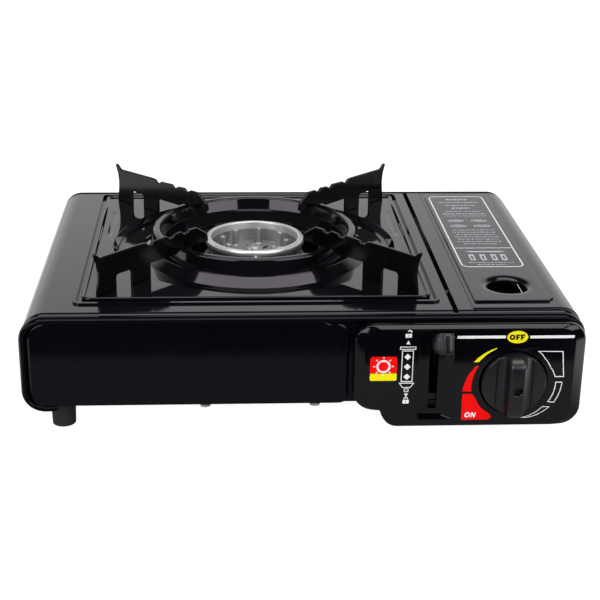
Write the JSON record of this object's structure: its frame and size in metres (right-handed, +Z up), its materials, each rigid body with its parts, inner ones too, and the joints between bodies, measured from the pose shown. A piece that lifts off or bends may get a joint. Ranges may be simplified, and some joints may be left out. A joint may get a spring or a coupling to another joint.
{
  "type": "butane cassette stove",
  "caption": "Single-burner portable butane stove in a black steel case, with a lift-out drip pan and pan supports, a hinged canister lid, a lock lever and a gas knob.",
  "frame": {"origin": "on the table under the middle of the whole stove's box", "axes": "+X along the stove's width towards the canister bay, +Y to the back, +Z up"},
  "size_m": [0.342, 0.278, 0.1103],
  "materials": {
    "enamel_black": "glossy black enamel",
    "painted_steel": "satin black paint",
    "zinc_steel": "zinc plated sheet steel",
    "cast_aluminium": "turned and as-cast aluminium",
    "brass": "machined brass",
    "black_plastic": "satin moulded plastic",
    "natural_plastic": "unpainted acetal",
    "ceramic": "glazed ceramic",
    "wire_sleeve": "silicone",
    "rubber": "black rubber"
  },
  "bodies": {
    "case": {"casing": "enamel_black", "front_plate": "enamel_black", "back_plate": "enamel_black", "base_tray": "painted_steel", "canister_tray": "painted_steel", "partition": "zinc_steel", "bay_front_rim": "enamel_black", "bay_rear_rim": "enamel_black", "lid_hinge_rod": "zinc_steel", "control_panel": "black_plastic", "burner_chamber": "cast_aluminium", "burner_ring": "cast_aluminium", "burner_floor": "cast_aluminium", "burner_bracket": "zinc_steel", "mixing_tube": "zinc_steel", "gas_jet": "brass", "valve_body": "cast_aluminium", "regulator_cover": "zinc_steel", "valve_seal": "rubber", "valve_bracket": "zinc_steel", "cover_screws": "zinc_steel", "piezo_igniter": "black_plastic", "electrode": "ceramic", "electrode_clip": "zinc_steel", "ignition_wire": "wire_sleeve", "lever_pin": "zinc_steel", "lever_bracket": "zinc_steel", "heat_plate": "cast_aluminium", "base_screws": "zinc_steel", "foot_front_left": "rubber", "foot_front_right": "rubber", "foot_back_left": "rubber", "foot_back_right": "rubber"},
    "lid": {"canister_lid": "enamel_black"},
    "pan": {"drip_pan": "enamel_black", "support_front_left": "enamel_black", "support_front_right": "enamel_black", "support_back_left": "enamel_black", "support_back_right": "enamel_black"},
    "knob": {"valve_spindle": "brass", "control_knob": "black_plastic", "knob_screw": "zinc_steel", "igniter_cam": "natural_plastic"},
    "plunger": {"igniter_plunger": "natural_plastic"},
    "lever": {"lock_lever": "zinc_steel", "lever_cap": "black_plastic"},
    "pusher": {"canister_pusher": "zinc_steel"}
  },
  "joints": [
    {"name": "lid_hinge", "type": "hinge", "parent": "case", "child": "lid", "pos_m": [0.1683, 0, 0.032], "axis": [0, 1, 0], "range_deg": [0, 100]},
    {"name": "pan_lift", "type": "slide", "parent": "case", "child": "pan", "axis": [0, 0, 1], "range_m": [0, 0.06]},
    {"name": "knob_turn", "type": "hinge", "parent": "case", "child": "knob", "pos_m": [0.1272, -0.114, 0.04], "axis": [0, -1, 0], "range_deg": [0, 140]},
    {"name": "igniter_press", "type": "slide", "parent": "case", "child": "plunger", "axis": [0, 0, 1], "range_m": [0, 0.0032]},
    {"name": "lever_swing", "type": "hinge", "parent": "case", "child": "lever", "pos_m": [0.0783, -0.08, 0.049], "axis": [1, 0, 0], "range_deg": [0, 42]},
    {"name": "pusher_slide", "type": "slide", "parent": "case", "child": "pusher", "axis": [0, -1, 0], "range_m": [0, 0.00737]}
  ],
  "couplings": [
    {"joint": "igniter_press", "follows": "knob_turn", "m_per_rad": 0.0012278},
    {"joint": "pusher_slide", "follows": "lever_swing", "m_per_rad": 0.0097776}
  ]
}
